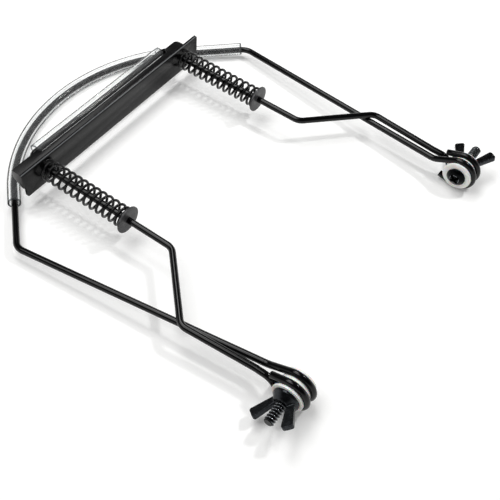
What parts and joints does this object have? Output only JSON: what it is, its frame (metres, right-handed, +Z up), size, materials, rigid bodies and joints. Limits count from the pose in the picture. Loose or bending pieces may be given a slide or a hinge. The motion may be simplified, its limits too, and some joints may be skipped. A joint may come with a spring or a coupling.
{
  "type": "harmonica holder",
  "caption": "Folding neck-worn rack for a mouth organ: a wire neck yoke and a wire clamp frame hinged at bolted eyes, with a sprung plate that presses against a sleeved bridge.",
  "frame": {"origin": "centre of the folded holder's outline on the surface that it lies on", "axes": "+X along the pivot axis from the left pivot to the right, +Y from the pivots to the yoke's crown, +Z up"},
  "size_m": [0.2384, 0.2662, 0.0271],
  "materials": {
    "black_enamelled_wire": "gloss black",
    "clear_vinyl": "clear, soft",
    "black_plate_paint": "satin black",
    "black_spring_wire": "gloss black",
    "grey_seat_disc": "dull dark grey",
    "white_nylon": "moulded white",
    "black_plated_steel": "satin black plate"
  },
  "bodies": {
    "yoke": {"neck_yoke": "black_enamelled_wire", "neck_sleeve": "clear_vinyl", "pivot_bolt_left": "black_plated_steel", "head_washer_left": "white_nylon", "middle_washer_left": "white_nylon", "nut_washer_left": "white_nylon", "pivot_bolt_right": "black_plated_steel", "head_washer_right": "white_nylon", "middle_washer_right": "white_nylon", "nut_washer_right": "white_nylon"},
    "clamp": {"clamp_frame": "black_enamelled_wire", "bridge_sleeve": "clear_vinyl", "spring_seat_left": "grey_seat_disc", "spring_left": "black_spring_wire", "spring_seat_right": "grey_seat_disc", "spring_right": "black_spring_wire"},
    "plate": {"clamp_plate": "black_plate_paint"},
    "wing_nut_left": {"wing_nut_left": "black_plated_steel"},
    "wing_nut_right": {"wing_nut_right": "black_plated_steel"}
  },
  "joints": [
    {"name": "clamp_fold", "type": "hinge", "parent": "yoke", "child": "clamp", "pos_m": [0, -0.11927, 0.0116], "axis": [1, 0, 0], "range_deg": [0, 180]},
    {"name": "plate_slide", "type": "slide", "parent": "clamp", "child": "plate", "axis": [0, -0.9997, -0.0253], "range_m": [0, 0.036], "stiffness_N_per_m": 7700, "deforming": ["spring_left", "spring_right"]},
    {"name": "wing_nut_left_turn", "type": "hinge", "parent": "yoke", "child": "wing_nut_left", "pos_m": [-0.1022, -0.11927, 0.0116], "axis": [-1, 0, 0], "continuous": true},
    {"name": "wing_nut_right_turn", "type": "hinge", "parent": "yoke", "child": "wing_nut_right", "pos_m": [0.1022, -0.11927, 0.0116], "axis": [1, 0, 0], "continuous": true}
  ]
}
